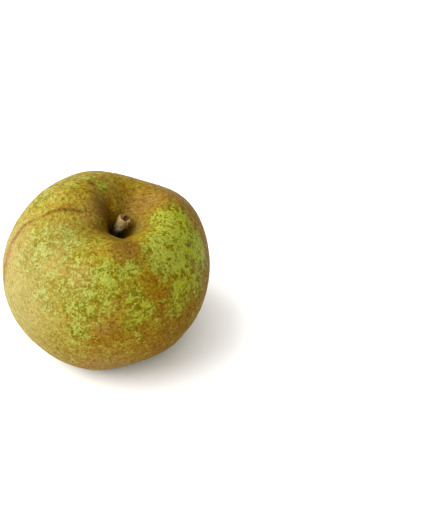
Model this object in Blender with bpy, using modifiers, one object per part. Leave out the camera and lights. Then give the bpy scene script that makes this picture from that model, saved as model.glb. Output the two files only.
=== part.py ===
"""A reinette apple: a squat, lopsided russet apple with its stalk and its dried eye, standing on its crown.

The fruit, the stalk and the eye are three solids. Each starts as an upright turned or bent shape on the
apple's own axis. The fruit is then swollen into five unequal lobes, and one smooth lean tips the stalk end
of everything towards -Y, as on a fruit that grew more on one side. The flat feet under the crown's lobes lie
on z = 0, and the origin is the middle of the floor space that the fruit covers.
"""

import math

import bmesh
import bpy
from mathutils import Euler, Matrix, Vector

MM = 0.001

# The mean section of the fruit, as (radius, height) in millimetres from the stalk's socket round to the eye.
# Height 0 is near the widest girth.
CAVITY = [(2.2, 11.7), (2.9, 16.2), (4.3, 20.4), (7.3, 25.1), (12.0, 28.1)]
SHOULDER = [(18.0, 29.0), (24.8, 26.9), (32.5, 19.0)]
FLANK = [(37.2, 7.8), (38.1, -1.0), (36.0, -11.2), (30.5, -21.5)]
CROWN = [(23.5, -28.3), (16.5, -30.8)]
BASIN = [(11.8, -29.3), (8.8, -26.3), (6.6, -24.0), (4.6, -22.7), (3.3, -22.4)]
ROW_SPACING = 2.9 * MM
FRUIT_STEPS = 60

# What makes the girth uneven: (lobes round the fruit, swelling in mm, direction of one lobe in degrees).
# Directions run anticlockwise from +X, seen from above.
GIRTH_WAVES = [(1, 2.3, 221), (2, 1.7, 58), (3, 0.8, 80), (5, 0.2, 36)]
# The same for the height of the shoulders round the stalk's cavity, and of the crown that it stands on.
SHOULDER_WAVES = [(1, 4.1, 260), (2, 2.3, 152), (3, 2.0, 30), (5, 0.6, 36)]
CROWN_WAVES = [(5, 0.7, 36)]
# Grooves from the stalk's cavity out over the shoulders: (direction in degrees, depth in mm, half of their
# width in degrees). The one with a depth below zero is a rib that runs down into the cavity.
GROOVES = [(350, 1.5, 34), (74, 1.2, 36), (130, 2.0, 32), (190, -2.0, 42), (272, 1.4, 38)]

# The growth bends from the crown up, so the stalk end leans and the crown stays level.
LEAN_TO_FRONT = math.radians(11)
LEAN_TO_RIGHT = math.radians(10)
LEAN_FROM, LEAN_TO = -30 * MM, 26 * MM
# Heights below this are pressed level: the small flats that the fruit rests on.
FOOT_HEIGHT = -30.7 * MM

GAP = 0.3 * MM
SOCKET_RADIUS = 2.2 * MM
SOCKET_FLOOR = 8.0 * MM
EYE_PIT_RADIUS = 3.3 * MM
EYE_PIT_FLOOR = -19.9 * MM

# The stalk's thickness along its length, as (height over its foot, radius) in millimetres.
STALK_SECTION = [(0, 1.85), (3.0, 1.8), (5.5, 1.7), (8.5, 1.75), (11.5, 2.0), (14.0, 2.5), (15.8, 2.7)]
STALK_RIM = [(16.9, 2.45), (17.1, 1.9), (16.4, 1.4)]
STALK_PIT = (15.6, 0.75)
STALK_STEPS = 20
STALK_BEND = math.radians(14)
STALK_BEND_TO = math.radians(60)
STALK_RIBS = [(3, 0.16, 20), (5, 0.10, 50)]

SEPALS = 5
SEPAL_LENGTH = 6.4 * MM
SEPAL_WIDTH = 2.6 * MM
SEPAL_THICKNESS = 0.7 * MM
SEPAL_ROOT_RADIUS = 2.2 * MM
SEPAL_ROWS, SEPAL_COLUMNS = 10, 6
EYE_RADIUS = 3.0 * MM
EYE_STEPS = 30


def clear_scene():
    for obj in list(bpy.data.objects):
        bpy.data.objects.remove(obj, do_unlink=True)


def new_collection(name):
    made = bpy.data.collections.new(name)
    bpy.context.scene.collection.children.link(made)
    return made


def skin_material(name, colour, roughness):
    material = bpy.data.materials.new(name)
    material.use_nodes = True
    surface = material.node_tree.nodes["Principled BSDF"]
    surface.inputs["Base Color"].default_value = (*colour, 1)
    surface.inputs["Roughness"].default_value = roughness
    surface.inputs["Metallic"].default_value = 0
    material.diffuse_color = (*colour, 1)
    return material


def ease(low, high, value):
    """0 at low and 1 at high, with no corner at either."""
    share = min(1, max(0, (value - low) / (high - low)))
    return share * share * (3 - 2 * share)


def waves(terms, azimuth):
    """The sum of the lobes at an azimuth, in metres."""
    return sum(
        height * MM * math.cos(count * (azimuth - math.radians(direction)))
        for count, height, direction in terms
    )


def groove_depth(azimuth):
    """How deep the grooves cut at an azimuth, in metres."""
    depth = 0
    for direction, deepest, half_width in GROOVES:
        away = abs(math.remainder(math.degrees(azimuth) - direction, 360))
        depth += deepest * MM * ease(half_width, 0, away)
    return depth


def curve_through(stations, spacing):
    """Points on a smooth curve through the stations, about this far apart, as (radius, height) vectors."""
    knots = [Vector(s) * MM for s in stations]
    knots = [2 * knots[0] - knots[1], *knots, 2 * knots[-1] - knots[-2]]
    points = []
    for before, start, end, after in zip(knots, knots[1:], knots[2:], knots[3:]):
        pieces = max(1, math.ceil((end - start).length / spacing))
        for piece in range(pieces):
            t = piece / pieces
            points.append(
                0.5 * (2 * start + (end - before) * t)
                + 0.5 * (2 * before - 5 * start + 4 * end - after) * t**2
                + 0.5 * (3 * start - before - 3 * end + after) * t**3
            )
    return [*points, knots[-2]]


def turned(name, outline, steps):
    """A closed solid of revolution about Z, from (radius, height) points that run from its top to its bottom."""
    mesh = bpy.data.meshes.new(name)
    corners = [(radius, 0, height) for radius, height in outline]
    mesh.from_pydata(corners, [(i, i + 1) for i in range(len(corners) - 1)], [])
    obj = bpy.data.objects.new(name, mesh)
    bpy.context.scene.collection.objects.link(obj)
    screw = obj.modifiers.new("Turn", "SCREW")
    screw.axis = "Z"
    screw.steps = screw.render_steps = steps
    screw.use_merge_vertices = True
    screw.merge_threshold = 0.00001
    return applied(obj)


def applied(obj):
    """The object with its modifiers made part of its mesh."""
    graph = bpy.context.evaluated_depsgraph_get()
    finished = bpy.data.meshes.new_from_object(obj.evaluated_get(graph))
    obj.modifiers.clear()
    obj.data = finished
    return obj


def lean(point):
    """Tips a point of the upright fruit, more and more from the crown to the shoulders."""
    share = ease(LEAN_FROM, LEAN_TO, point.z)
    turn = Euler((LEAN_TO_FRONT * share, LEAN_TO_RIGHT * share, 0)).to_matrix()
    return turn @ point


def swollen(point):
    """Moves a point of the turned fruit out into its lobes, and up or down at the shoulders and the crown."""
    radius = math.hypot(point.x, point.y)
    azimuth = math.atan2(point.y, point.x)
    shoulder = ease(-6 * MM, 24 * MM, point.z) * ease(2.2 * MM, 16 * MM, radius)
    grooved = ease(0, 12 * MM, point.z) * ease(2.4 * MM, 6.5 * MM, radius) * ease(21 * MM, 8 * MM, radius)
    crown = ease(-14 * MM, -28 * MM, point.z) * ease(4 * MM, 14 * MM, radius)
    grown = radius + ease(3.3 * MM, 22 * MM, radius) * waves(GIRTH_WAVES, azimuth)
    height = point.z + shoulder * waves(SHOULDER_WAVES, azimuth) - grooved * groove_depth(azimuth)
    height -= crown * waves(CROWN_WAVES, azimuth)
    return Vector((grown * math.cos(azimuth), grown * math.sin(azimuth), height))


def make_fruit():
    section = curve_through(CAVITY + SHOULDER + FLANK + CROWN + BASIN, ROW_SPACING)
    socket = [(0, SOCKET_FLOOR), (SOCKET_RADIUS, SOCKET_FLOOR)]
    eye_pit = [(EYE_PIT_RADIUS, EYE_PIT_FLOOR), (0, EYE_PIT_FLOOR)]
    fruit = turned("fruit", socket + [tuple(p) for p in section] + eye_pit, FRUIT_STEPS)
    for vertex in fruit.data.vertices:
        vertex.co = lean(swollen(vertex.co))
        vertex.co.z = max(vertex.co.z, FOOT_HEIGHT)
    return fruit


def make_stalk():
    """A stout stalk with shallow ribs, swollen at its free end round the scar where it left the twig."""
    side = curve_through([(radius, height) for height, radius in STALK_SECTION], 1.3 * MM)
    rim = [(radius * MM, height * MM) for height, radius in STALK_RIM]
    pit = [(STALK_PIT[1] * MM, STALK_PIT[0] * MM), (0, STALK_PIT[0] * MM)]
    outline = [*reversed(pit), *reversed(rim), *[tuple(p) for p in reversed(side)], (0, 0)]
    stalk = turned("stalk", outline, STALK_STEPS)
    length = STALK_RIM[0][0] * MM
    sideways = Vector((math.cos(STALK_BEND_TO), math.sin(STALK_BEND_TO), 0))
    axis = Vector((0, 0, 1)).cross(sideways)
    for vertex in stalk.data.vertices:
        azimuth = math.atan2(vertex.co.y, vertex.co.x)
        radius = math.hypot(vertex.co.x, vertex.co.y)
        ribbed = radius + ease(0.8 * MM, 1.4 * MM, radius) * ease(2 * MM, 6 * MM, vertex.co.z) * waves(
            STALK_RIBS, azimuth
        )
        share = max(0, vertex.co.z / length)
        bend = Matrix.Rotation(STALK_BEND * share, 3, axis)
        centre = Vector((0, 0, vertex.co.z)) + sideways * (share**2 * length * STALK_BEND / 2)
        spoke = bend @ Vector((ribbed * math.cos(azimuth), ribbed * math.sin(azimuth), 0))
        lift = Vector((0, 0, SOCKET_FLOOR + GAP))
        vertex.co = lean(centre + spoke + lift)
    return stalk


def sepal_point(along, across):
    """A point on the middle surface of one sepal that lies over +X. It hangs from the eye and curls outwards."""
    half_width = SEPAL_WIDTH / 2 * (1 - along**1.7) + 0.12 * MM
    out = SEPAL_ROOT_RADIUS + SEPAL_LENGTH * (0.10 * along + 0.52 * along**2.4)
    down = SEPAL_LENGTH * (0.86 * along - 0.30 * along**2.6)
    cupped = 0.35 * MM * across**2 * (1 - along)
    return Vector((out - cupped, across * half_width, EYE_PIT_FLOOR - 2.6 * MM - down))


def make_sepal(index):
    """A blade from a grid, curled by formula and thickened."""
    bpy.ops.mesh.primitive_grid_add(x_subdivisions=SEPAL_ROWS, y_subdivisions=SEPAL_COLUMNS, size=2)
    sepal = bpy.context.object
    for vertex in sepal.data.vertices:
        vertex.co = sepal_point((vertex.co.x + 1) / 2, vertex.co.y)
    sepal.data.transform(Matrix.Rotation(2 * math.pi * index / SEPALS + 0.3, 4, "Z"))
    thickness = sepal.modifiers.new("Thickness", "SOLIDIFY")
    thickness.thickness = SEPAL_THICKNESS
    thickness.offset = 0
    return applied(sepal)


def make_eye():
    """The dried eye: a short plug in the basin's pit, hollow at its mouth, with five sepals round it."""
    root = EYE_PIT_FLOOR - GAP
    mouth = EYE_PIT_FLOOR - 3.6 * MM
    outline = [
        (0, root),
        (EYE_RADIUS, root),
        (EYE_RADIUS, mouth + 0.6 * MM),
        (EYE_RADIUS - 0.5 * MM, mouth),
        (1.4 * MM, mouth),
        (0.9 * MM, mouth + 1.2 * MM),
        (0, mouth + 1.2 * MM),
    ]
    eye = turned("eye", outline, EYE_STEPS)
    blades = new_collection("sepals")
    for index in range(SEPALS):
        blade = make_sepal(index)
        for holder in list(blade.users_collection):
            holder.objects.unlink(blade)
        blades.objects.link(blade)
    join = eye.modifiers.new("Join", "BOOLEAN")
    join.operation = "UNION"
    join.operand_type = "COLLECTION"
    join.collection = blades
    join.solver = "EXACT"
    applied(eye)
    for vertex in eye.data.vertices:
        vertex.co = lean(vertex.co)
    for blade in list(blades.objects):
        bpy.data.objects.remove(blade, do_unlink=True)
    bpy.data.collections.remove(blades)
    return eye


def set_on_floor(pieces, fruit):
    """Puts the feet on z = 0 and the middle of the fruit's floor space on the origin."""
    xs = [v.co.x for v in fruit.data.vertices]
    ys = [v.co.y for v in fruit.data.vertices]
    middle = Vector(((min(xs) + max(xs)) / 2, (min(ys) + max(ys)) / 2, FOOT_HEIGHT))
    for piece in pieces:
        piece.data.transform(Matrix.Translation(-middle))


def finish(piece, material, collection):
    bm = bmesh.new()
    bm.from_mesh(piece.data)
    bmesh.ops.recalc_face_normals(bm, faces=bm.faces)
    bm.to_mesh(piece.data)
    bm.free()
    piece.data.shade_smooth()
    piece.data.set_sharp_from_angle(angle=math.radians(50))
    piece.data.materials.clear()
    piece.data.materials.append(material)
    for holder in list(piece.users_collection):
        holder.objects.unlink(piece)
    collection.objects.link(piece)


def main():
    clear_scene()
    apple = new_collection("reinette_apple")
    fruit, stalk, eye = make_fruit(), make_stalk(), make_eye()
    set_on_floor((fruit, stalk, eye), fruit)
    finish(fruit, skin_material("russet_skin", (0.42, 0.34, 0.09), 0.62), apple)
    finish(stalk, skin_material("stalk_bark", (0.20, 0.14, 0.07), 0.85), apple)
    finish(eye, skin_material("dried_eye", (0.10, 0.07, 0.04), 0.9), apple)


main()
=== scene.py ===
# %% [markdown]
# A russet apple on a white table
#
# This notebook dresses a solid model of an apple: an old kind of dessert apple with a dry, corky skin.
# The solids are loaded first and never changed. Each one is then replaced by a finer piece of the same
# form, with a skin, a bark and a dried flower of its own, all of them made with nodes and mesh tools and
# none with a picture.

# %% Load the solid model
import math
import bpy
import numpy as np
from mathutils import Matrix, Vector, noise
from mathutils.kdtree import KDTree


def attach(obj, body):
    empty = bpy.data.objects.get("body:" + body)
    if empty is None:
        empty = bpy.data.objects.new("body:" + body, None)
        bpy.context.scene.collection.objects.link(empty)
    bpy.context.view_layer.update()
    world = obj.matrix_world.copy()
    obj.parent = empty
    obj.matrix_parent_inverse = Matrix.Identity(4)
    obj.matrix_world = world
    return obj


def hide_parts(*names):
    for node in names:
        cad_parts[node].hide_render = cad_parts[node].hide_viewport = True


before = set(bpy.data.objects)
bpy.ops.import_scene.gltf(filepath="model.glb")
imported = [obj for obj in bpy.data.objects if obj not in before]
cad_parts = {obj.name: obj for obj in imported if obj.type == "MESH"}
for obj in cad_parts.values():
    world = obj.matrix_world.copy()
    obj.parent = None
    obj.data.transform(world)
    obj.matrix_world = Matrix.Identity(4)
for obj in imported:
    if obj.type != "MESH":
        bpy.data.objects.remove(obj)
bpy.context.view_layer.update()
MM = 0.001
scene = bpy.context.scene
scene.view_settings.view_transform = "Standard"

# %% [markdown]
# The camera comes first, because every later choice is judged through it. The apple is seen from the
# front and from well above, as on a table that one stands beside. A long lens from nearly a metre away
# keeps the round form from bulging. The camera only pitches, so its direction is one angle.

# %% Camera
CAMERA_HEIGHT_ANGLE = math.radians(42)
CAMERA_DISTANCE = 900 * MM
AIM = Vector((40.301, 1.947, 31.651)) * MM
LENS = 171.3
towards_apple = Vector((0, math.cos(CAMERA_HEIGHT_ANGLE), -math.sin(CAMERA_HEIGHT_ANGLE)))
camera_data = bpy.data.cameras.new("camera")
camera_data.lens = LENS
camera = bpy.data.objects.new("camera", camera_data)
camera.location = AIM - towards_apple * CAMERA_DISTANCE
camera.rotation_euler = (math.pi / 2 - CAMERA_HEIGHT_ANGLE, 0, 0)
scene.collection.objects.link(camera)
scene.camera = camera
print("camera at", tuple(round(value, 3) for value in camera.location))

# %% [markdown]
# Each finished piece starts as a copy of a solid. The solid's mesh is loose triangles, so the copy is
# merged, turned into four-sided faces and then subdivided, which rounds its facets off. Modelling the
# apple again from a sphere would work too, but a copy is sure to stay the size and shape of the part.

# %% Helpers: one active piece, a fine copy, and its points as an array
MERGE_DISTANCE = 0.01 * MM
OCTAVES = 2


def make_active(piece):
    """Leaves this piece as the only selected one, and active."""
    bpy.ops.object.select_all(action="DESELECT")
    piece.select_set(True)
    bpy.context.view_layer.objects.active = piece


def finish_modifier(piece, modifier):
    """Applies a modifier of this piece."""
    make_active(piece)
    bpy.ops.object.modifier_apply(modifier=modifier.name)


def subdivide_smoothly(piece, levels):
    """Rounds a coarse mesh off with a Subdivision Surface of so many levels."""
    rounding = piece.modifiers.new("rounding", "SUBSURF")
    rounding.levels = levels
    rounding.render_levels = levels
    finish_modifier(piece, rounding)


def fine_copy(node_name, piece_name, levels):
    """Makes a new piece with the form of a solid, in fine smooth faces."""
    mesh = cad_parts[node_name].data.copy()
    mesh.name = piece_name
    mesh.materials.clear()
    piece = bpy.data.objects.new(piece_name, mesh)
    scene.collection.objects.link(piece)
    make_active(piece)
    bpy.ops.mesh.customdata_custom_splitnormals_clear()
    bpy.ops.object.mode_set(mode="EDIT")
    bpy.ops.mesh.select_all(action="SELECT")
    bpy.ops.mesh.remove_doubles(threshold=MERGE_DISTANCE)
    bpy.ops.mesh.tris_convert_to_quads()
    bpy.ops.object.mode_set(mode="OBJECT")
    subdivide_smoothly(piece, levels)
    piece.data.shade_smooth()
    return piece


def points_of(piece):
    """The piece's points in millimetres, one row each."""
    flat = np.empty(len(piece.data.vertices) * 3)
    piece.data.vertices.foreach_get("co", flat)
    return flat.reshape(-1, 3) / MM


def normals_of(piece):
    """The direction that the surface faces at each point."""
    flat = np.empty(len(piece.data.vertices) * 3)
    piece.data.vertices.foreach_get("normal", flat)
    return flat.reshape(-1, 3)


def move_points(piece, points):
    """Gives the piece these points, in millimetres."""
    piece.data.vertices.foreach_set("co", (points * MM).ravel())
    piece.data.update()


def store_mask(piece, name, values):
    """Keeps one number for each point, which a material can read by its name."""
    layer = piece.data.attributes.new(name, "FLOAT", "POINT")
    layer.data.foreach_set("value", np.asarray(values, dtype=np.float32))


def rough_field(points, size):
    """Smooth random values around 0, with lumps of about this many millimetres."""
    rows = [noise.fractal(Vector(row) / size, 1.0, 2.0, OCTAVES) for row in points]
    return np.array(rows)


def distance_to(points, place):
    """How far each point lies from one place."""
    return np.linalg.norm(points - np.array(place), axis=1)


def bell(gap, width, steepness=2):
    """A soft step down with distance: 1 in the middle, about a third at the width, then nothing."""
    return np.exp(-(gap / width) ** steepness)


print("helpers ready")

# %% [markdown]
# The fruit. Its solid has the form: low shoulders, a tight cavity round the stalk, ribs and the crown
# underneath. What it lacks is the unevenness of a grown thing. A real skin has dents and swellings that
# are too shallow to see as shapes but break up the light, so every point moves in or out by a tenth of a
# millimetre or so. The feet that it stands on stay as they are. The floor of the cavity also leans a
# little to the left, as on most real apples. The stalk is moved by the same rule later, so it stays in
# its socket.

# %% The fruit's fine mesh
SWELLING_SIZE = 9.0
SWELLING_HEIGHT = 0.16
PIT_PLACE = (4.5, -2.5, 46.0)
PIT_REACH = 6.5
PIT_SHIFT = 2.0
FOOT_BLEND = 3.0


def lean_pit(points):
    """Moves the floor of the cavity, and the foot of the stalk with it, to the left."""
    leaned = points.copy()
    leaned[:, 0] -= PIT_SHIFT * bell(distance_to(points, PIT_PLACE), PIT_REACH)
    return leaned


apple = fine_copy("fruit", "apple_skin", 2)
points = points_of(apple)
swelling = rough_field(points, SWELLING_SIZE) * SWELLING_HEIGHT
foot = np.clip(points[:, 2] / FOOT_BLEND, 0, 1)
points += normals_of(apple) * (swelling * foot)[:, None]
move_points(apple, lean_pit(points))
highest = round(float(np.abs(swelling).max()), 2)
print("fruit:", len(apple.data.polygons), "faces, swellings of", highest, "mm")

# %% [markdown]
# The seam. One raised, beaded line of cork runs from the rim of the cavity over the left shoulder and
# down the side, where the skin split when the fruit was small and healed. It is a path of points on the
# shoulder, with a smooth curve drawn through them. Faces near the path are cut finer, because a ridge of
# a millimetre can't be made from faces as wide as itself. Further down the side the ridge sinks into a
# wider, reddish band, which is only a colour and so only a mask.

# %% The seam's path, and finer faces along it
SEAM_POINTS = [
    (-7.4, -7.5, 62.9), (-9.2, -7.2, 63.4), (-12.0, -7.1, 63.8), (-15.2, -7.0, 63.7), (-18.7, -7.3, 62.8),
    (-20.9, -7.6, 61.6), (-23.1, -7.4, 60.3), (-25.7, -7.1, 58.3), (-28.3, -6.8, 55.8), (-31.0, -6.8, 52.0),
    (-32.9, -7.1, 48.4), (-34.1, -8.4, 45.8), (-35.1, -9.5, 42.9), (-35.8, -10.5, 40.0),
    (-36.1, -12.4, 37.3), (-36.3, -13.3, 33.8), (-36.0, -14.5, 31.0),
]
SEAM_STEPS = 24
FINE_BAND = 2.6
SEAM_CUTS = 2


def curve_through(stations, steps):
    """A smooth line through the stations (Catmull and Rom's rule)."""
    rows = np.array([stations[0]] + list(stations) + [stations[-1]], dtype=float)
    line = []
    for first in range(len(stations) - 1):
        before, start, end, after = rows[first:first + 4]
        for step in range(steps):
            t = step / steps
            line.append(0.5 * (2 * start + (end - before) * t
                               + (2 * before - 5 * start + 4 * end - after) * t ** 2
                               + (3 * start - before - 3 * end + after) * t ** 3))
    line.append(rows[-1])
    return np.array(line)


def distance_to_line(points, line):
    """How far each point lies from a line of points, and how far along the line (0 to 1) that is."""
    tree = KDTree(len(line))
    for index, place in enumerate(line):
        tree.insert(Vector(place), index)
    tree.balance()
    found = [tree.find(Vector(row)) for row in points]
    gap = np.array([hit[2] for hit in found])
    along = np.array([hit[1] for hit in found]) / (len(line) - 1)
    return gap, along


def cut_finer(piece, chosen, cuts):
    """Subdivides the faces whose corners are all chosen."""
    make_active(piece)
    mesh = piece.data
    for polygon in mesh.polygons:
        polygon.select = all(chosen[index] for index in polygon.vertices)
    for edge in mesh.edges:
        edge.select = False
    for vertex in mesh.vertices:
        vertex.select = False
    bpy.ops.object.mode_set(mode="EDIT")
    bpy.ops.mesh.select_mode(type="FACE")
    bpy.ops.mesh.subdivide(number_cuts=cuts)
    bpy.ops.object.mode_set(mode="OBJECT")


seam_line = curve_through(SEAM_POINTS, SEAM_STEPS)
gap, along = distance_to_line(points_of(apple), seam_line)
cut_finer(apple, gap < FINE_BAND, SEAM_CUTS)
print("seam:", len(seam_line), "points; the fruit now has", len(apple.data.polygons), "faces")

# %% The seam's ridge
# Each pair is how far along the seam, from 0 to 1, and the value there.
SEAM_WIDTHS = ((0.0, 0.48), (0.5, 0.60), (0.7, 0.90), (1.0, 1.20))
SEAM_STRENGTHS = ((0.0, 0.5), (0.04, 1.0), (0.20, 1.0), (0.27, 0.60), (0.38, 0.50), (0.46, 0.85),
                  (0.56, 0.70), (0.66, 0.35), (0.90, 0.25), (1.0, 0.0))
BAND_STRENGTHS = ((0.0, 0.0), (0.40, 0.0), (0.60, 0.80), (0.92, 0.75), (1.0, 0.0))
BAND_HALF_WIDTH = 1.9
SEAM_HEIGHT = 0.26
SEAM_SIDE_GROOVE = 0.12
GROOVE_PLACE = 1.8
GROOVE_WIDTH = 0.7
BEAD_SIZE = 0.8
BEAD_UNEVENNESS = 0.9
SEAM_COLOUR_SPREAD = 1.15
FAR_FROM_SEAM = 6
points = points_of(apple)
gap, along = distance_to_line(points, seam_line)
half_width = np.interp(along, *zip(*SEAM_WIDTHS))
strength = np.interp(along, *zip(*SEAM_STRENGTHS))
near = gap < FAR_FROM_SEAM * half_width
beads = np.zeros(len(points))
beads[near] = rough_field(points[near], BEAD_SIZE)
ridge = SEAM_HEIGHT * bell(gap, half_width) * (1 + BEAD_UNEVENNESS * beads)
groove = SEAM_SIDE_GROOVE * bell(gap / half_width - GROOVE_PLACE, GROOVE_WIDTH)
points += normals_of(apple) * ((ridge - groove) * strength)[:, None]
move_points(apple, points)
store_mask(apple, "seam", bell(gap, SEAM_COLOUR_SPREAD * half_width) * strength)
store_mask(apple, "band", bell(gap, BAND_HALF_WIDTH) * np.interp(along, *zip(*BAND_STRENGTHS)))
print("ridge:", SEAM_HEIGHT, "mm high")

# %% [markdown]
# A scar. Something bit or pricked the young fruit on the far side of the cavity, and a small dry pit is
# left. It is pressed in by moving the points near its middle, deepest in the middle.

# %% The scar
SCAR_PLACE = (-4.5, 7.6, 63.5)
SCAR_RADIUS = 1.40
SCAR_DEPTH = 0.45
SCAR_FINE_RADIUS = 3.0
SCAR_CUTS = 2
SCAR_COLOUR = 0.9
cut_finer(apple, distance_to(points_of(apple), SCAR_PLACE) < SCAR_FINE_RADIUS, SCAR_CUTS)
points = points_of(apple)
pressed = bell(distance_to(points, SCAR_PLACE), SCAR_RADIUS)
points -= normals_of(apple) * (SCAR_DEPTH * pressed)[:, None]
move_points(apple, points)
store_mask(apple, "scar", pressed * SCAR_COLOUR)
print("scar:", SCAR_DEPTH, "mm deep, the fruit now has", len(apple.data.polygons), "faces")

# %% [markdown]
# Where the skin is green and where it is brown. Such an apple is green below and grows a brown cork over
# it, solid in places, a net in others, and only flecks on the right cheek. The fine pattern comes from
# noise later. Its density is laid down here: a list of places on the fruit, each with its middle, a
# radius and how much green shows there. A second list has the places that are brown in spite of that, and
# is taken off the first. The places blend into each other over the surface. Painting by hand would work
# too, but a list is easy to change.

# %% How green each place is
GREEN_PLACES = {
    "cheek_back": ((21.7, -4.8, 55.9), 6.2, 0.98),
    "cheek_front": ((21.3, -15.8, 56.7), 6.0, 1.00),
    "cheek_top": ((26.5, -0.5, 54.2), 5.0, 0.75),
    "cheek_middle": ((28.7, -8.5, 52.0), 8.0, 1.00),
    "cheek_side": ((33.5, -7.5, 45.3), 7.0, 0.90),
    "cheek_low": ((26.5, -20.5, 50.6), 5.0, 0.85),
    "cheek_left": ((19.0, -21.0, 56.4), 4.8, 0.95),
    "cheek_left_low": ((20.8, -24.5, 54.0), 4.4, 0.85),
    "cheek_tail": ((21.5, -27.0, 50.3), 3.2, 0.52),
    "low_right": ((28.0, -25.2, 41.4), 6.6, 0.58),
    "low_right_tip": ((26.0, -27.6, 37.5), 5.0, 0.56),
    "low_right_side": ((33.4, -17.0, 39.1), 6.0, 0.48),
    "net_base": ((0.0, -35.5, 48.0), 13.0, 0.34),
    "net_middle": ((1.5, -32.3, 55.4), 6.0, 0.66),
    "net_middle_low": ((1.2, -35.7, 50.6), 5.0, 0.58),
    "net_right": ((9.9, -30.3, 55.7), 5.5, 0.54),
    "net_right_low": ((12.6, -33.8, 48.8), 4.8, 0.52),
    "net_left": ((-4.7, -35.3, 50.2), 4.5, 0.52),
    "net_far_left": ((-11.8, -32.8, 49.8), 4.5, 0.48),
    "net_low": ((-5.9, -37.6, 42.9), 5.0, 0.56),
    "net_low_far_left": ((-11.2, -36.0, 43.8), 4.0, 0.46),
    "net_low_left": ((-8.3, -38.4, 34.0), 4.5, 0.46),
    "net_low_right": ((13.8, -35.4, 41.0), 5.5, 0.52),
    "net_low_tail": ((8.9, -37.4, 36.4), 4.0, 0.50),
    "cavity_left": ((-2.7, -17.2, 58.3), 5.0, 0.36),
    "left_shoulder": ((-20.3, -16.1, 57.4), 8.0, 0.38),
    "left_side": ((-25.7, -20.1, 50.6), 7.0, 0.32),
    "left_front": ((-11.0, -17.0, 58.6), 7.5, 0.36),
    "left_front_low": ((-8.5, -24.5, 57.2), 7.0, 0.40),
    "left_low": ((-18.0, -30.0, 46.0), 9.0, 0.30),
    "left_back": ((-22.9, 2.4, 60.9), 7.5, 0.38),
    "left_far_back": ((-15.6, 13.0, 60.4), 8.0, 0.34),
    "scar_right": ((-1.0, 8.7, 61.2), 3.2, 0.78),
    "scar_back": ((-5.4, 12.2, 62.4), 2.6, 0.62),
    "left_top": ((-12.5, 4.0, 65.2), 5.0, 0.32),
    "back_patch": ((-12.0, 33.0, 42.0), 13.0, 0.52),
    "back_patch_right": ((27.0, 25.0, 30.0), 11.0, 0.46),
    "far_left": ((-33.0, 12.0, 36.0), 10.0, 0.40),
}
BROWN_GAPS = {
    "cavity_front": ((7.5, -22.0, 59.8), 5.0, 0.40),
    "front_band": ((16.8, -30.7, 50.3), 4.0, 0.45),
    "front_low": ((3.6, -38.3, 37.5), 4.5, 0.40),
    "cavity": ((6.0, -3.0, 52.0), 10.5, 0.70),
}
GREEN_EVERYWHERE = 0.06
LEAST_GREEN = -0.6
EDGE_POWER = 4


def blend_places(points, places, start=0.0):
    """Lays soft round places over each other. Each is full in its middle and half gone at its radius. The
    strongest wins, and nothing is below the start."""
    total = np.full(len(points), start)
    for place, radius, amount in places.values():
        total = np.maximum(total, amount / (1 + (distance_to(points, place) / radius) ** EDGE_POWER))
    return total


points = points_of(apple)
greenness = blend_places(points, GREEN_PLACES, GREEN_EVERYWHERE)
greenness = np.clip(greenness - blend_places(points, BROWN_GAPS), LEAST_GREEN, 1)
store_mask(apple, "greenness", greenness)
print("greenness from", round(float(greenness.min()), 2), "to", round(float(greenness.max()), 2))

# %% [markdown]
# The cork has a colour of its own in each part too: golden tan above, brown in front and on the right, and
# a pinkish brown round the cavity. The pale straw on the left is partly cork and partly a painted sheen of
# the lamp, and a pale patch on the cavity's right wall is painted light over the stalk's shadow. Some brown
# places are painted shade as well, on the dim right side and on the shaded wall and lip of the cavity. More
# masks hold that, in the same way. Two others say where the green skin turns lime, and where painted shade
# darkens the folds of the cavity and the low right side.

# %% How pale, brown and pink the cork is, how lime the green is, and where sheen and shade are painted
# Pale straw cork on the left, which also carries a painted sheen where the lamp falls on the left flank.
# The patch on the cavity's right wall is painted light over the stalk's shadow.
SHEEN_AND_STRAW_PLACES = {
    "left_flank": ((-34.0, -18.0, 38.0), 24.0, 0.85),
    "left_front": ((-10.0, -31.0, 52.0), 8.0, 0.45),
    "left_shoulder": ((-20.0, -20.0, 54.0), 13.0, 0.60),
    "left_top": ((-20.0, 0.0, 61.0), 10.0, 0.30),
    "far_side": ((-20.0, 30.0, 30.0), 18.0, 0.40),
    "cavity_right_painted_light": ((11.5, -3.0, 50.5), 4.0, 0.50),
}
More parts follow.
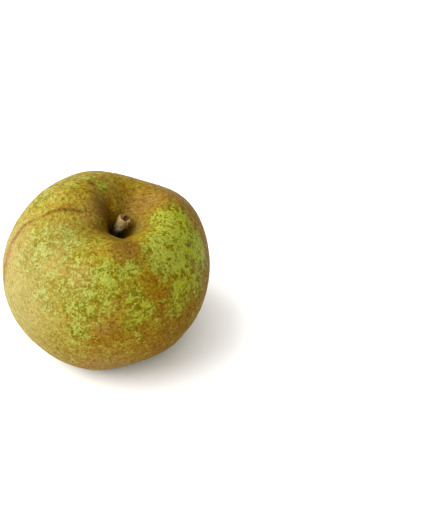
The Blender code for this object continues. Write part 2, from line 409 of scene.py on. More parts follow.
# Brown cork. The places on the right, on the cavity's left wall and at its front lip also darken where
# shade falls, so there the brown is partly painted shade.
BROWN_AND_SHADE_PLACES = {
    "front": ((6.0, -35.0, 44.0), 15.0, 0.50),
    "front_right": ((18.0, -32.0, 42.0), 10.0, 0.75),
    "front_low": ((1.0, -38.5, 32.0), 8.0, 0.75),
    "right": ((36.0, -6.0, 36.0), 18.0, 1.00),
    "low_right": ((22.0, -28.0, 24.0), 16.0, 1.00),
    "back_right": ((22.0, 14.0, 52.0), 15.0, 0.85),
    "cavity": ((3.5, -4.0, 50.0), 8.0, 1.00),
    "cavity_left": ((-1.0, -1.5, 58.5), 6.0, 0.90),
    "cavity_front": ((9.5, -22.5, 59.0), 5.5, 0.80),
    "low": ((4.0, -32.0, 12.0), 15.0, 0.75),
    "behind": ((10.0, 36.0, 30.0), 18.0, 0.60),
}
PINK_PLACES = {
    "cavity_front": ((9.0, -24.0, 59.5), 5.0, 0.35),
    "cavity_left": ((-4.0, -6.0, 61.5), 5.5, 0.55),
    "cavity_back": ((14.0, 8.0, 53.0), 8.0, 0.60),
    "back_right": ((24.0, 15.0, 50.0), 9.0, 0.35),
    "front_streak": ((-8.0, -31.0, 53.0), 5.5, 0.38),
    "front_middle": ((3.0, -37.5, 45.0), 3.5, 0.45),
    "front_low": ((0.0, -38.7, 36.4), 3.5, 0.55),
    "bottom": ((-1.0, -33.0, 10.0), 12.0, 0.85),
    "top": ((-2.0, 12.0, 61.0), 7.0, 0.30),
    "left_rim": ((-34.5, -9.0, 42.0), 6.0, 0.30),
}
LIME_PLACES = {
    "cheek_side": ((33.0, -8.0, 46.0), 11.0, 1.00),
    "low_right": ((28.8, -24.4, 41.1), 8.0, 0.90),
    "front_right": ((10.0, -35.5, 42.0), 9.0, 0.60),
    "cheek_top": ((26.5, 0.5, 54.2), 4.0, 0.60),
    "top": ((-4.0, 9.5, 62.5), 11.0, 0.60),
    "low_right_side": ((33.4, -17.0, 39.1), 8.0, 0.80),
    "back_patch_right": ((27.0, 25.0, 30.0), 11.0, 0.70),
}
# Painted shade: dark brown laid where shade falls, in the pit and folds of the cavity, on its rim and lip,
# and on the low right side.
PAINTED_SHADE_PLACES = {
    "rim_front": ((4.5, -15.5, 57.5), 4.5, 0.50),
    "lip": ((7.5, -21.5, 59.2), 6.0, 0.38),
    "rim_left": ((0.0, -9.5, 56.0), 4.0, 0.40),
    "left_wall": ((-1.0, -1.5, 58.0), 5.5, 0.36),
    "back_wall": ((4.3, 4.6, 55.7), 3.6, 0.26),
    "pit": ((4.5, -3.0, 47.0), 6.0, 0.60),
    "low_right": ((26.0, -25.0, 27.0), 14.0, 0.20),
}
for name, places in (("sheen_and_straw", SHEEN_AND_STRAW_PLACES), ("brown_and_shade", BROWN_AND_SHADE_PLACES), ("pinkness", PINK_PLACES),
                     ("lime", LIME_PLACES), ("painted_shade", PAINTED_SHADE_PLACES)):
    store_mask(apple, name, blend_places(points, places))
print("masks:", [layer.name for layer in apple.data.attributes if layer.data_type == "FLOAT"])

# %% [markdown]
# Node helpers. A material is a chain of nodes, and written out one by one it is hard to read. With these,
# one line adds one node and says what feeds each of its inputs: a number, a colour or another node's
# output.

# %% Helpers: add a node, do sums, mix colours
def feed(tree, socket, value):
    """Links an output to the socket, or sets the socket's own number."""
    if isinstance(value, bpy.types.NodeSocket):
        tree.links.new(value, socket)
    elif isinstance(value, tuple) and len(value) == 3 and socket.type == "RGBA":
        socket.default_value = (*value, 1.0)
    else:
        socket.default_value = value


def add_node(tree, kind, settings=None, **inputs):
    """Adds a node. An input is named as on the node, with _ for a space."""
    made = tree.nodes.new(kind)
    for name, value in (settings or {}).items():
        setattr(made, name, value)
    for name, value in inputs.items():
        feed(tree, made.inputs[name.replace("_", " ")], value)
    return made


def sums(tree, operation, *values, clamp=False):
    """One Math node's result."""
    made = add_node(tree, "ShaderNodeMath", {"operation": operation, "use_clamp": clamp})
    for socket, value in zip(made.inputs, values):
        feed(tree, socket, value)
    return made.outputs["Value"]


def ramp(tree, value, start, end, low=0.0, high=1.0):
    """Turns a value from start to end into low to high, with soft ends."""
    made = add_node(tree, "ShaderNodeMapRange", {"interpolation_type": "SMOOTHSTEP"}, Value=value,
                    From_Min=start, From_Max=end, To_Min=low, To_Max=high)
    return made.outputs["Result"]


def mix_colours(tree, amount, first, second, blend="MIX"):
    """Blends two colours by an amount from 0 to 1."""
    made = add_node(tree, "ShaderNodeMix", {"data_type": "RGBA", "blend_type": blend})
    feed(tree, made.inputs[0], amount)
    feed(tree, made.inputs[6], first)
    feed(tree, made.inputs[7], second)
    return made.outputs[2]


def cloud(tree, place, size, detail=2.0, roughness=0.5):
    """Noise with lumps of about this many millimetres, from 0 to 1."""
    made = add_node(tree, "ShaderNodeTexNoise", Vector=place, Scale=1 / size, Detail=detail,
                    Roughness=roughness)
    return made.outputs["Fac"]


def millimetres(tree):
    """The piece's own coordinates in millimetres, so that every size below is a real one."""
    place = add_node(tree, "ShaderNodeTexCoord")
    made = add_node(tree, "ShaderNodeVectorMath", {"operation": "SCALE"}, Scale=1 / MM)
    feed(tree, made.inputs[0], place.outputs["Object"])
    return made.outputs["Vector"]


def mask(tree, name):
    """A mask that was stored on the piece's points."""
    made = add_node(tree, "ShaderNodeAttribute", {"attribute_name": name})
    return made.outputs["Fac"]


def new_material(name):
    """A new material, with its node tree and its surface shader."""
    material = bpy.data.materials.new(name)
    material.use_nodes = True
    tree = material.node_tree
    return material, tree, tree.nodes["Principled BSDF"]


def new_group(name, inputs, outputs):
    """An empty node group and its two ends. An input has a kind and a starting value, an output a kind."""
    tree = bpy.data.node_groups.new(name, "ShaderNodeTree")
    for label, (kind, value) in inputs.items():
        socket = tree.interface.new_socket(label, in_out="INPUT", socket_type=kind)
        if value is not None:
            socket.default_value = value
    for label, kind in outputs.items():
        tree.interface.new_socket(label, in_out="OUTPUT", socket_type=kind)
    return tree, tree.nodes.new("NodeGroupInput"), tree.nodes.new("NodeGroupOutput")


def place_group(tree, group, **inputs):
    """Puts a node group in a material, with values of its own."""
    return add_node(tree, "ShaderNodeGroup", {"node_tree": group}, **inputs)


def finish_surface(tree, shader, colour, roughness, specular, height, strength, depth):
    """Feeds the surface shader, with a bump of this height."""
    feed(tree, shader.inputs["Base Color"], colour)
    feed(tree, shader.inputs["Roughness"], roughness)
    feed(tree, shader.inputs["Specular IOR Level"], specular)
    bump = add_node(tree, "ShaderNodeBump", Strength=strength, Distance=depth * MM, Height=height)
    feed(tree, shader.inputs["Normal"], bump.outputs["Normal"])


print("node helpers ready")

# %% [markdown]
# Three effects are made once, as node groups. Grain is the fine roughness of anything that has dried: a
# tint that wavers round 1, and a height for the bump. Net is the green that is left where cork has grown
# over most of the skin: islands joined by thin winding veins. Noise gives the islands, and the middle
# lines of a second noise give the veins. Both are one field, and all that lies above a level is green.
# More greenness lowers the level. Dots are the pale pores that every apple has, one in each cell of a
# pattern of scattered cells.

# %% Effect group: grain
NUMBER = "NodeSocketFloat"
VECTOR = "NodeSocketVector"
GRAIN_DETAIL = 3.0
GRAIN_ROUGHNESS = 0.6
grain, entry, exit_ = new_group("grain",
                                {"Place": (VECTOR, None), "Size": (NUMBER, 0.5), "Contrast": (NUMBER, 0.3)},
                                {"Tint": NUMBER, "Height": NUMBER})
grain_scale = sums(grain, "DIVIDE", 1.0, entry.outputs["Size"])
fine = add_node(grain, "ShaderNodeTexNoise", Vector=entry.outputs["Place"], Scale=grain_scale,
                Detail=GRAIN_DETAIL, Roughness=GRAIN_ROUGHNESS).outputs["Fac"]
spread = sums(grain, "MULTIPLY", sums(grain, "SUBTRACT", fine, 0.5), 2.0)
tint = sums(grain, "ADD", 1.0, sums(grain, "MULTIPLY", spread, entry.outputs["Contrast"]))
feed(grain, exit_.inputs["Tint"], tint)
feed(grain, exit_.inputs["Height"], fine)
print("group:", grain.name)

# %% Effect group: net of green between patches of cork
ISLANDS = {"Detail": 5.0, "Roughness": 0.66, "Distortion": 0.35}
VEINS = {"Detail": 3.0, "Roughness": 0.6, "Distortion": 0.8}
CLUMP_SIZE = 3.6
CLUMP_DETAIL = 1.0
COVER_STEP = 0.42
VEIN_SPAN = 2.1
VEIN_SHARPNESS = 12.0
VEIN_LIFT = 0.20
VEIN_SHARE = 0.3
net, entry, exit_ = new_group("net",
                              {"Place": (VECTOR, None), "Greenness": (NUMBER, 0.5),
                               "Lump size": (NUMBER, 2.0), "Softness": (NUMBER, 0.035),
                               "Clumping": (NUMBER, 1.5)},
                              {"Green": NUMBER})
place = entry.outputs["Place"]
lump_scale = sums(net, "DIVIDE", 1.0, entry.outputs["Lump size"])
vein_scale = sums(net, "DIVIDE", lump_scale, VEIN_SPAN)
lumps = add_node(net, "ShaderNodeTexNoise", Vector=place, Scale=lump_scale, **ISLANDS).outputs["Fac"]
winding = add_node(net, "ShaderNodeTexNoise", Vector=place, Scale=vein_scale, **VEINS).outputs["Fac"]
off_vein = sums(net, "MULTIPLY", sums(net, "ABSOLUTE", sums(net, "SUBTRACT", winding, 0.5)), VEIN_SHARPNESS)
vein = sums(net, "SUBTRACT", 1.0, off_vein, clamp=True)
field = sums(net, "ADD", lumps, sums(net, "MULTIPLY", sums(net, "SUBTRACT", vein, VEIN_SHARE), VEIN_LIFT))
unevenness = sums(net, "SUBTRACT", cloud(net, place, CLUMP_SIZE, CLUMP_DETAIL), 0.5)
clumps = sums(net, "MULTIPLY", unevenness, entry.outputs["Clumping"])
cover = sums(net, "ADD", entry.outputs["Greenness"], clumps)
level = sums(net, "ADD", 0.5, sums(net, "MULTIPLY", sums(net, "SUBTRACT", 0.5, cover), COVER_STEP))
above = sums(net, "DIVIDE", sums(net, "SUBTRACT", field, level), entry.outputs["Softness"])
feed(net, exit_.inputs["Green"], ramp(net, above, -1.0, 1.0))
print("group:", net.name)

# %% Effect group: pale dots
DOT_EDGE = 0.6
DOT_CHOICE = (0.35, 0.5)
dots, entry, exit_ = new_group("dots",
                               {"Place": (VECTOR, None), "Spacing": (NUMBER, 4.0), "Radius": (NUMBER, 0.3)},
                               {"Dot": NUMBER})
pores = add_node(dots, "ShaderNodeTexVoronoi", Vector=entry.outputs["Place"],
                 Scale=sums(dots, "DIVIDE", 1.0, entry.outputs["Spacing"]))
reach = sums(dots, "MULTIPLY", pores.outputs["Distance"], entry.outputs["Spacing"])
edge = sums(dots, "MULTIPLY", entry.outputs["Radius"], DOT_EDGE)
outside = sums(dots, "DIVIDE", sums(dots, "SUBTRACT", reach, edge), edge)
inside = sums(dots, "SUBTRACT", 1.0, outside, clamp=True)
chance = add_node(dots, "ShaderNodeSeparateColor", Color=pores.outputs["Color"]).outputs["Red"]
chosen = ramp(dots, chance, *DOT_CHOICE)
feed(dots, exit_.inputs["Dot"], sums(dots, "MULTIPLY", inside, chosen))
print("group:", dots.name)

# %% [markdown]
# The skin. Cork and green skin are two colours mixed by the net. Each varies by itself, because a flat
# colour would look painted: the cork from golden tan to olive and reddish brown with dark and pale
# specks, the green from pale to lime with open flecks. Cork is dry and stands a little proud, and green
# skin is smoother, so the same net also drives the roughness and the bump. All colours are measures of
# how much light comes back, not what a screen shows, so they look darker here than in the picture.

# %% The skin's colours
# Pale straw cork, also used as a painted sheen where the lamp falls on the left.
SHEEN_STRAW = (0.266, 0.226, 0.074)
GOLDEN_TAN = (0.222, 0.158, 0.006)
BROWN = (0.156, 0.074, 0.0005)
OLIVE = (0.135, 0.118, 0.003)
DARK_OLIVE = (0.085, 0.052, 0.0005)
RED_BROWN = (0.155, 0.055, 0.002)
PINK_BROWN = (0.225, 0.125, 0.032)
PALE_GREEN = (0.236, 0.254, 0.029)
LIME = (0.244, 0.278, 0.001)
PALE_SHEEN_GREEN = (0.262, 0.268, 0.096)
PALE_YELLOW = (0.28, 0.25, 0.012)
PALE_TAN = (0.295, 0.188, 0.008)
PALE_SHEEN_STRAW = (0.292, 0.252, 0.092)
FLECK_OLIVE = (0.105, 0.083, 0.001)
DOT_TAN = (0.38, 0.25, 0.025)
SEAM_BROWN = (0.085, 0.03, 0.003)
BAND_BROWN = (0.2, 0.1, 0.03)
# The colour of the painted shade.
PAINTED_SHADE_BROWN = (0.060, 0.030, 0.003)
SCAR_BROWN = (0.085, 0.042, 0.001)
print("colours ready")

# %% Skin material: cork
# A range is where an effect starts and where it is full. Sizes are in millimetres.
NET = {"Lump_size": 1.9, "Softness": 0.050, "Clumping": 1.2}
BROWN_LUMPS = {"size": 5.0, "detail": 5.0, "roughness": 0.65}
BROWN_SWING = 2.2
RED_LUMPS = {"size": 2.6, "detail": 5.0, "roughness": 0.7}
RED_RANGE = (0.51, 0.63)
RED_MOST = 0.85
SHEEN_AND_STRAW_RANGE = (0.0, 0.6)
RED_ON_SHEEN_AND_STRAW = 0.35
DARK_ON_SHEEN_AND_STRAW = 0.40
OLIVE_RANGE = (0.10, 0.50)
OLIVE_MOST = 0.90
SPECKS = {"size": 1.25, "detail": 4.0, "roughness": 0.7}
DARK_RANGE = (0.49, 0.38)
DARK_MOST = 0.8
PALE_RANGE = (0.52, 0.62)
PALE_LEAST = 0.45
PALE_BY_GREEN = 0.9
PALE_BY_SHEEN_AND_STRAW = 1.3
skin, tree, shader = new_material("russet_skin")
place = millimetres(tree)
greenness = mask(tree, "greenness")
brown_and_shade = mask(tree, "brown_and_shade")
sheen_and_straw = mask(tree, "sheen_and_straw")
green = place_group(tree, net, Place=place, Greenness=greenness, **NET).outputs["Green"]
swing = sums(tree, "SUBTRACT", cloud(tree, place, **BROWN_LUMPS), 0.5)
browner = sums(tree, "ADD", brown_and_shade, sums(tree, "MULTIPLY", swing, BROWN_SWING), clamp=True)
# The straw colour lightens the left flank: pale cork and painted sheen together.
cork = mix_colours(tree, sheen_and_straw, GOLDEN_TAN, SHEEN_STRAW)
cork = mix_colours(tree, browner, cork, BROWN)
reddish = ramp(tree, cloud(tree, place, **RED_LUMPS), *RED_RANGE, 0.0, RED_MOST)
reddish = sums(tree, "MULTIPLY", reddish, ramp(tree, sheen_and_straw, *SHEEN_AND_STRAW_RANGE, 1.0, RED_ON_SHEEN_AND_STRAW))
cork = mix_colours(tree, reddish, cork, RED_BROWN)
cork = mix_colours(tree, ramp(tree, greenness, *OLIVE_RANGE, 0.0, OLIVE_MOST), cork, OLIVE)
cork = mix_colours(tree, mask(tree, "pinkness"), cork, PINK_BROWN)
cork = mix_colours(tree, mask(tree, "band"), cork, BAND_BROWN)
specks = cloud(tree, place, **SPECKS)
dark = sums(tree, "MULTIPLY", ramp(tree, specks, *DARK_RANGE, 0.0, DARK_MOST),
            ramp(tree, sheen_and_straw, *SHEEN_AND_STRAW_RANGE, 1.0, DARK_ON_SHEEN_AND_STRAW))
cork = mix_colours(tree, dark, cork, DARK_OLIVE)
pale = sums(tree, "ADD", PALE_LEAST, sums(tree, "MULTIPLY", greenness, PALE_BY_GREEN), clamp=True)
speckle = mix_colours(tree, brown_and_shade, PALE_YELLOW, PALE_TAN)
speckle = mix_colours(tree, sums(tree, "MULTIPLY", sheen_and_straw, PALE_BY_SHEEN_AND_STRAW, clamp=True), speckle, PALE_SHEEN_STRAW)
cork = mix_colours(tree, sums(tree, "MULTIPLY", pale, ramp(tree, specks, *PALE_RANGE)), cork, speckle)
print("cork:", len(tree.nodes), "nodes")

# %% Skin material: green skin, the net, and marks on top
LIME_LUMPS = {"size": 2.6, "detail": 4.0}
LIME_RANGE = (0.38, 0.62)
LIME_LEAST = 0.50
LEAF_BY_SHEEN_AND_STRAW = 1.1
OPEN_SKIN = {"Greenness": 0.67, "Lump_size": 1.30, "Softness": 0.050, "Clumping": 0.8}
CLEAR_RANGE = (0.35, 0.75)
CLEAR_LEAST = 0.86
DOTS = {"Spacing": 2.4, "Radius": 0.34}
DOTS_BY_BROWN = (0.1, 0.7, 0.2, 0.85)
BEADS = {"size": 0.75, "detail": 3.0, "roughness": 0.6}
BEAD_RANGE = (0.38, 0.50)
BEAD_LEAST = 0.20
limes = sums(tree, "MULTIPLY", ramp(tree, cloud(tree, place, **LIME_LUMPS), *LIME_RANGE, LIME_LEAST, 1.0),
             mask(tree, "lime"))
leaf = mix_colours(tree, limes, PALE_GREEN, LIME)
leaf = mix_colours(tree, sums(tree, "MULTIPLY", sheen_and_straw, LEAF_BY_SHEEN_AND_STRAW, clamp=True), leaf, PALE_SHEEN_GREEN)
open_skin = place_group(tree, net, Place=place, **OPEN_SKIN).outputs["Green"]
leaf = mix_colours(tree, open_skin, FLECK_OLIVE, leaf)
clear = sums(tree, "MULTIPLY", green, ramp(tree, greenness, *CLEAR_RANGE, CLEAR_LEAST, 1.0))
colour = mix_colours(tree, clear, cork, leaf)
dot = place_group(tree, dots, Place=place, **DOTS).outputs["Dot"]
dot = sums(tree, "MULTIPLY", dot, ramp(tree, brown_and_shade, *DOTS_BY_BROWN))
colour = mix_colours(tree, dot, colour, DOT_TAN)
bead = ramp(tree, cloud(tree, place, **BEADS), *BEAD_RANGE, BEAD_LEAST, 1.0)
colour = mix_colours(tree, sums(tree, "MULTIPLY", mask(tree, "seam"), bead), colour, SEAM_BROWN)
# Painted shade over the cavity's folds and the low right side.
colour = mix_colours(tree, mask(tree, "painted_shade"), colour, PAINTED_SHADE_BROWN)
colour = mix_colours(tree, mask(tree, "scar"), colour, SCAR_BROWN)
print("marks: dots, beads, painted shade and the scar")

# %% Skin material: grain, gloss and bump
GRAIN_SIZE = 0.8
GRAIN_CONTRAST = 0.9
GRAIN_ON_SHEEN_AND_STRAW = 0.5
CORK_ROUGHNESS = 0.56
GREEN_ROUGHNESS = 0.44
SKIN_SPECULAR = 0.02
GREEN_SINK = 0.5
SKIN_BUMP = {"strength": 0.35, "depth": 0.08}
grainy = place_group(tree, grain, Place=place, Size=GRAIN_SIZE,
                     Contrast=ramp(tree, sheen_and_straw, 0.0, 1.0, GRAIN_CONTRAST, GRAIN_ON_SHEEN_AND_STRAW))
tint = grainy.outputs["Tint"]
grey = add_node(tree, "ShaderNodeCombineColor", Red=tint, Green=tint, Blue=tint).outputs["Color"]
colour = mix_colours(tree, 1.0, colour, grey, "MULTIPLY")
raised = sums(tree, "SUBTRACT", grainy.outputs["Height"], sums(tree, "MULTIPLY", green, GREEN_SINK))
roughness = ramp(tree, green, 0.0, 1.0, CORK_ROUGHNESS, GREEN_ROUGHNESS)
finish_surface(tree, shader, colour, roughness, SKIN_SPECULAR, raised, **SKIN_BUMP)
apple.data.materials.append(skin)
print("material:", skin.name, "with", len(tree.nodes), "nodes")

# %% [markdown]
# The stalk is short, stout and swollen at its end, where it let go of the twig. Two bud scars sit there
# side by side: a round hole with a rim on the right, and a small notch on the left. They are pressed into
# the points, and so are the lengthwise wrinkles of the dry bark. The left half of the end is raised to a
# lobe of its own, and the right half is squeezed, so that the end isn't round.

# %% The stalk's fine mesh, scars and wrinkles
HOLE_PLACE = (8.05, -1.35, 54.45)
HOLE_RADIUS = 0.85
HOLE_DEPTH = 0.75
NOTCH_PLACE = (6.30, -1.40, 55.60)
NOTCH_RADIUS = 0.50
NOTCH_DEPTH = 0.45
RIM_HEIGHT = 0.12
RIM_WIDTH = 0.3
RIM_IN_HOLE_RADII = 1.35
WRINKLE_WIDTH = 0.55
WRINKLE_LENGTH = 3.2
WRINKLE_HEIGHT = 0.20
KNOBBLE_SIZE = 1.0
KNOBBLE_HEIGHT = 0.22
STEEP = 4
KNOB_LEVEL = 50.0
KNOB_LEVEL_BLEND = 3.0
KNOB_RIGHT = 7.3
KNOB_RIGHT_BLEND = 2.2
KNOB_SQUEEZE = 0.5
LOBE_PLACE = (6.7, -1.3, 55.0)
LOBE_RADIUS = 0.9
LOBE_HEIGHT = 0.55
END_FACING = np.array([0.07, -0.83, 0.56])
stalk = fine_copy("stalk", "woody_stalk", 3)
points = points_of(stalk)
lobe = bell(distance_to(points, LOBE_PLACE), LOBE_RADIUS, STEEP)
points += END_FACING * (LOBE_HEIGHT * lobe)[:, None]
in_knob = np.clip((points[:, 2] - KNOB_LEVEL) / KNOB_LEVEL_BLEND, 0, 1)
on_right = np.clip((points[:, 0] - KNOB_RIGHT) / KNOB_RIGHT_BLEND, 0, 1)
points[:, 0] -= KNOB_SQUEEZE * (in_knob * on_right)
hole_gap = distance_to(points, HOLE_PLACE)
wrinkles = rough_field(points / np.array([WRINKLE_WIDTH, WRINKLE_WIDTH, WRINKLE_LENGTH]), 1.0)
height = WRINKLE_HEIGHT * wrinkles + KNOBBLE_HEIGHT * rough_field(points, KNOBBLE_SIZE)
height -= HOLE_DEPTH * bell(hole_gap, HOLE_RADIUS, STEEP)
height += RIM_HEIGHT * bell(hole_gap - RIM_IN_HOLE_RADII * HOLE_RADIUS, RIM_WIDTH)
height -= NOTCH_DEPTH * bell(distance_to(points, NOTCH_PLACE), NOTCH_RADIUS, STEEP)
points += normals_of(stalk) * height[:, None]
move_points(stalk, lean_pit(points))
print("stalk:", len(stalk.data.polygons), "faces, two bud scars")

# %% [markdown]
# The bark isn't one colour. The scars are nearly black, the torn edge beside them is pale cream,
# grey-green lichen grows on the side that faces the light, and the foot down in the cavity is painted
# dark, as shade. Each is a short list of places, like those on the skin.

# %% The bark's places
SCAR_PLACES = {
    "hole": (HOLE_PLACE, 1.0, 1.1),
    "notch": (NOTCH_PLACE, 0.50, 0.9),
    "between": ((6.9, -1.9, 55.6), 0.4, 0.6),
    "under_hole": ((8.6, -3.4, 53.6), 0.5, 0.5),
}
CREAM_PLACES = {
    "left_lobe": ((5.9, -2.6, 55.7), 1.15, 1.0),
    "right_lobe": ((8.9, -3.2, 54.9), 0.8, 0.7),
    "pink_spot": ((8.55, -4.2, 54.0), 0.75, 0.9),
}
LICHEN_PLACES = {
    "front": ((5.6, -4.1, 53.6), 1.7, 1.00),
    "front_low": ((5.4, -4.3, 51.6), 1.6, 0.95),
}
CORE_RADIUS = 0.75
BASE_TOP = 52.3
BASE_BLEND = 2.8
masks = {
    "scar": blend_places(points, SCAR_PLACES),
    "cream": blend_places(points, CREAM_PLACES),
    "lichen": blend_places(points, LICHEN_PLACES),
    "core": bell(hole_gap, CORE_RADIUS),
    # Painted shade on the stalk's foot, darker towards the bottom.
    "painted_shade_foot": (BASE_TOP - points[:, 2]) / BASE_BLEND,
}
for name, values in masks.items():
    store_mask(stalk, name, np.clip(values, 0, 1))
print("bark masks:", sorted(masks))

# %% [markdown]
# The bark's material lays those colours over brown and tan streaks. The edges of the cream and the lichen
# are ragged, because noise is multiplied into their masks.

# %% Bark material
BARK_BROWN = (0.15, 0.075, 0.02)
BARK_TAN = (0.25, 0.15, 0.05)
BARK_CREAM = (0.46, 0.3, 0.115)
LICHEN_GREY = (0.29, 0.3, 0.14)
SCAR_DARK = (0.03, 0.012, 0.002)
CORE_PINK = (0.11, 0.045, 0.012)
# Painted shade for the foot of the stalk down in the cavity.
FOOT_PAINTED_SHADE = (0.03, 0.022, 0.008)
STREAKS = {"size": 0.7, "detail": 4.0, "roughness": 0.65}
STREAK_RANGE = (0.42, 0.62)
RAGGED_EDGE = {"size": 0.6, "detail": 4.0, "roughness": 0.7}
RAGGED_RANGE = (0.40, 0.56)
RAGGED_LEAST = 0.10
CORE_MOST = 0.6
BARK_ROUGHNESS = (0.85, 0.65)
BARK_SPECULAR = 0.15
BARK_GRAIN = {"Size": 0.35, "Contrast": 0.5}
BARK_BUMP = {"strength": 0.6, "depth": 0.12}
bark, tree, shader = new_material("stalk_bark")
place = millimetres(tree)
streaks = cloud(tree, place, **STREAKS)
colour = mix_colours(tree, ramp(tree, streaks, *STREAK_RANGE), BARK_BROWN, BARK_TAN)
ragged = ramp(tree, cloud(tree, place, **RAGGED_EDGE), *RAGGED_RANGE, RAGGED_LEAST, 1.0)
colour = mix_colours(tree, sums(tree, "MULTIPLY", mask(tree, "lichen"), ragged), colour, LICHEN_GREY)
colour = mix_colours(tree, sums(tree, "MULTIPLY", mask(tree, "cream"), ragged), colour, BARK_CREAM)
colour = mix_colours(tree, mask(tree, "scar"), colour, SCAR_DARK)
colour = mix_colours(tree, sums(tree, "MULTIPLY", mask(tree, "core"), CORE_MOST), colour, CORE_PINK)
# Painted shade on the stalk's foot.
colour = mix_colours(tree, mask(tree, "painted_shade_foot"), colour, FOOT_PAINTED_SHADE)
rough = place_group(tree, grain, Place=place, **BARK_GRAIN)
roughness = ramp(tree, streaks, 0.0, 1.0, *BARK_ROUGHNESS)
finish_surface(tree, shader, colour, roughness, BARK_SPECULAR, rough.outputs["Height"], **BARK_BUMP)
stalk.data.materials.append(bark)
print("material:", bark.name)

# %% [markdown]
# The eye is what is left of the flower, in the hollow of the crown underneath: a ring with five curled
# sepals, and inside it the stamens, dried to bristles. The apple stands on it, so it never shows from
# above. The sepals only need the crinkles of a dry leaf, which noise gives them. A bristle is a thin
# cone, and all of them are joined to the ring.

# %% The eye's fine mesh and its bristles
CRINKLE_SIZE = 1.3
CRINKLE_HEIGHT = 0.22
BRISTLES = 13
BRISTLE_LENGTH = 2.8
BRISTLE_RADIUS = 0.13
BRISTLE_SIDES = 8
BRISTLE_RING = 0.75
BRISTLE_SPREAD = 0.30
BRISTLE_TURN = math.radians(137.5)
CUP_FLOOR = Vector((1.85, 1.17, 8.45))
eye = fine_copy("eye", "dried_flower", 2)
points = points_of(eye)
points += normals_of(eye) * (rough_field(points, CRINKLE_SIZE) * CRINKLE_HEIGHT)[:, None]
move_points(eye, points)
bristles = []
for index in range(BRISTLES):
    ring = BRISTLE_RING * math.sqrt((index + 0.5) / BRISTLES)
    root = Vector((math.cos(index * BRISTLE_TURN), math.sin(index * BRISTLE_TURN), 0)) * ring
    hanging = (root * BRISTLE_SPREAD - Vector((0, 0, 1))).normalized()
    bpy.ops.mesh.primitive_cone_add(vertices=BRISTLE_SIDES, depth=BRISTLE_LENGTH * MM,
                                    radius1=BRISTLE_RADIUS * MM, radius2=BRISTLE_RADIUS / 3 * MM,
                                    location=(CUP_FLOOR + root + hanging * BRISTLE_LENGTH / 2) * MM,
                                    rotation=hanging.to_track_quat("Z", "Y").to_euler())
    bristles.append(bpy.context.active_object)
make_active(eye)
for bristle in bristles:
    bristle.select_set(True)
bpy.ops.object.join()
eye.data.shade_smooth()
print("eye:", len(eye.data.polygons), "faces with", BRISTLES, "bristles")

# %% [markdown]
# A dried sepal is grey-brown and dull, so its roughness is high. One noise between two colours is enough
# for it.

# %% Dried flower material
SEPAL_BROWN = (0.120, 0.075, 0.040)
SEPAL_GREY = (0.260, 0.210, 0.140)
SEPAL_LUMPS = {"size": 1.2, "detail": 4.0, "roughness": 0.6}
DULL_LUMP = 0.8
SEPAL_ROUGHNESS = (0.9, 0.75)
SEPAL_SPECULAR = 0.5
SEPAL_GRAIN = {"Size": 0.3, "Contrast": 0.5}
SEPAL_BUMP = {"strength": 0.6, "depth": 0.15}
dried, tree, shader = new_material("dried_eye")
place = millimetres(tree)
colour = mix_colours(tree, cloud(tree, place, **SEPAL_LUMPS), SEPAL_BROWN, SEPAL_GREY)
roughness = ramp(tree, cloud(tree, place, DULL_LUMP), 0.0, 1.0, *SEPAL_ROUGHNESS)
rough = place_group(tree, grain, Place=place, **SEPAL_GRAIN)
finish_surface(tree, shader, colour, roughness, SEPAL_SPECULAR, rough.outputs["Height"], **SEPAL_BUMP)
eye.data.materials.append(dried)
print("material:", dried.name)

# %% [markdown]
# Each finished piece stands in for one solid, which is hidden. It is attached to the body that it moves
# with. An apple has one body only.

# %% Each piece takes the place of its solid
for piece, node_name, slot_name in ((apple, "fruit", "russet_skin"), (stalk, "stalk", "stalk_bark"),
                                    (eye, "eye", "dried_eye")):
    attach(piece, "root")
    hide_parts(node_name)
print("three pieces ride on the root body")

# %% [markdown]
# The table is a white sheet, wide enough that its edge never shows. It is matte, so it only takes the
# soft shadow and sends light back under the apple.

# %% The white floor
FLOOR_WIDTH = 6.0
FLOOR_WHITE = (0.93, 0.93, 0.93)
FLOOR_ROUGHNESS = 0.9
bpy.ops.object.select_all(action="DESELECT")
bpy.ops.mesh.primitive_plane_add(size=FLOOR_WIDTH, location=(0, 0, 0))
floor = bpy.context.active_object
floor.name = "floor"
paper, tree, shader = new_material("white_paper")
feed(tree, shader.inputs["Base Color"], FLOOR_WHITE)
feed(tree, shader.inputs["Roughness"], FLOOR_ROUGHNESS)
feed(tree, shader.inputs["Specular IOR Level"], 0.0)
floor.data.materials.append(paper)
print("floor:", FLOOR_WIDTH, "m wide")

# %% [markdown]
# The light. A large soft lamp stands on the left, so the left side is pale and the shadow falls to the
# right with a wide soft edge. The rest comes from the room, which is bright and white on the lamp's side
# and overhead, and dim and warm on the other. A plain grey room would be simpler, but it would light the
# right side as much as the left. A weighted sum of a direction's axes says how far it points to the
# bright side. The camera itself sees only white behind the table.

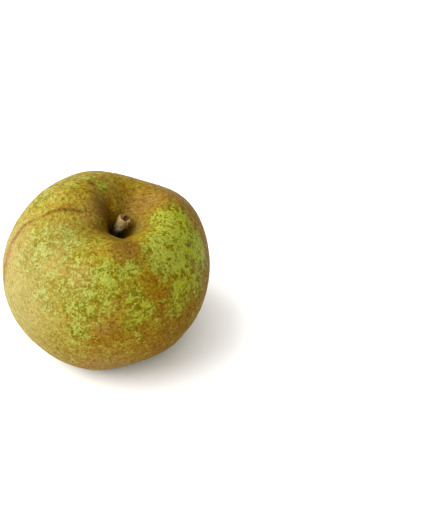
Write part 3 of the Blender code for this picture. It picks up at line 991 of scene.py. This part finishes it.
# %% Light
SOFTBOX_WIDTH = 2.2
SOFTBOX_DISTANCE = 1.6
SOFTBOX_SIDE_ANGLE = math.radians(179)
SOFTBOX_HEIGHT_ANGLE = math.radians(42)
SOFTBOX_POWER = 54.0
softbox_data = bpy.data.lights.new("softbox", "AREA")
softbox_data.size = SOFTBOX_WIDTH
softbox_data.energy = SOFTBOX_POWER
softbox = bpy.data.objects.new("softbox", softbox_data)
side = Vector((math.cos(SOFTBOX_SIDE_ANGLE), math.sin(SOFTBOX_SIDE_ANGLE), 0))
from_apple = side * math.cos(SOFTBOX_HEIGHT_ANGLE) + Vector((0, 0, math.sin(SOFTBOX_HEIGHT_ANGLE)))
softbox.location = from_apple * SOFTBOX_DISTANCE
softbox.rotation_euler = from_apple.to_track_quat("Z", "Y").to_euler()
scene.collection.objects.link(softbox)
print("softbox of", SOFTBOX_POWER, "W")

# %% The room around it
ROOM_BRIGHT = 1.55
ROOM_DIM = 0.04
ROOM_WARM = (1.0, 0.87, 0.6)
ROOM_WHITE = (1.0, 1.0, 1.0)
TOWARDS_LAMP = {"X": -0.65, "Y": -0.25, "Z": 0.68}
EITHER_END = 0.35
GLOW_RANGE = (-0.40, 0.82)
WHITE_RANGE = (-0.3, 0.6)
room = bpy.data.worlds.new("room")
room.use_nodes = True
scene.world = room
tree = room.node_tree
outwards = add_node(tree, "ShaderNodeTexCoord").outputs["Generated"]
direction = add_node(tree, "ShaderNodeSeparateXYZ", Vector=outwards)
to_lamp = sums(tree, "MULTIPLY", sums(tree, "ABSOLUTE", direction.outputs["Y"]), EITHER_END)
for axis, weight in TOWARDS_LAMP.items():
    to_lamp = sums(tree, "ADD", to_lamp, sums(tree, "MULTIPLY", direction.outputs[axis], weight))
glow = ramp(tree, to_lamp, *GLOW_RANGE, ROOM_DIM, ROOM_BRIGHT)
whiteness = ramp(tree, to_lamp, *WHITE_RANGE)
seen = add_node(tree, "ShaderNodeLightPath").outputs["Is Camera Ray"]
strength = add_node(tree, "ShaderNodeMix", {"data_type": "FLOAT"})
feed(tree, strength.inputs[0], seen)
feed(tree, strength.inputs[2], glow)
feed(tree, strength.inputs[3], 1.0)
feed(tree, tree.nodes["Background"].inputs["Strength"], strength.outputs[0])
tone = mix_colours(tree, whiteness, ROOM_WARM, ROOM_WHITE)
feed(tree, tree.nodes["Background"].inputs["Color"], mix_colours(tree, seen, tone, ROOM_WHITE))
print("room from", ROOM_DIM, "to", ROOM_BRIGHT)
